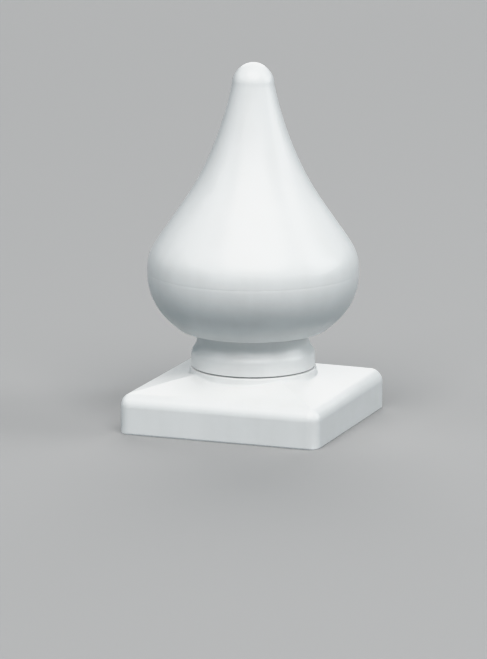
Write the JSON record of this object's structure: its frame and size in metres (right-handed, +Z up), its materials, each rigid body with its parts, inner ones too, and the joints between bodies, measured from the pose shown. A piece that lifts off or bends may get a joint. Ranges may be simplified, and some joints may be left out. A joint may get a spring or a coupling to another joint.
{
  "type": "fence post cap",
  "caption": "Square slip-over cap for a vinyl fence post, with a hollow turned onion-shaped finial that screws down on its low hipped roof.",
  "frame": {"origin": "centre of the square at the plane of the skirt's lower rim", "axes": "+Z up along the finial's axis; X and Y square to the skirt's sides"},
  "size_m": [0.1096, 0.1096, 0.188],
  "materials": {
    "white_vinyl": "glossy moulded white vinyl",
    "gasket_rubber": "matt grey EPDM",
    "brass": "machined",
    "stainless_steel": "satin stainless"
  },
  "bodies": {
    "cap": {"base_cap": "white_vinyl", "centre_bolt": "stainless_steel", "fender_washer": "stainless_steel", "flat_washer": "stainless_steel", "lock_washer": "stainless_steel", "clamp_nut": "stainless_steel"},
    "gasket": {"foot_gasket": "gasket_rubber"},
    "finial": {"finial_crown": "white_vinyl", "finial_bowl": "white_vinyl", "neck_pedestal": "white_vinyl", "threaded_insert": "brass"}
  },
  "joints": [
    {"name": "finial_lift", "type": "slide", "parent": "cap", "child": "gasket", "axis": [0, 0, 1], "range_m": [0, 0.0127]},
    {"name": "finial_turn", "type": "hinge", "parent": "gasket", "child": "finial", "pos_m": [0, 0, 0.0434], "axis": [0, 0, 1], "range_deg": [0, 3240]}
  ],
  "couplings": [
    {"joint": "finial_lift", "follows": "finial_turn", "m_per_rad": 0.00022459}
  ]
}
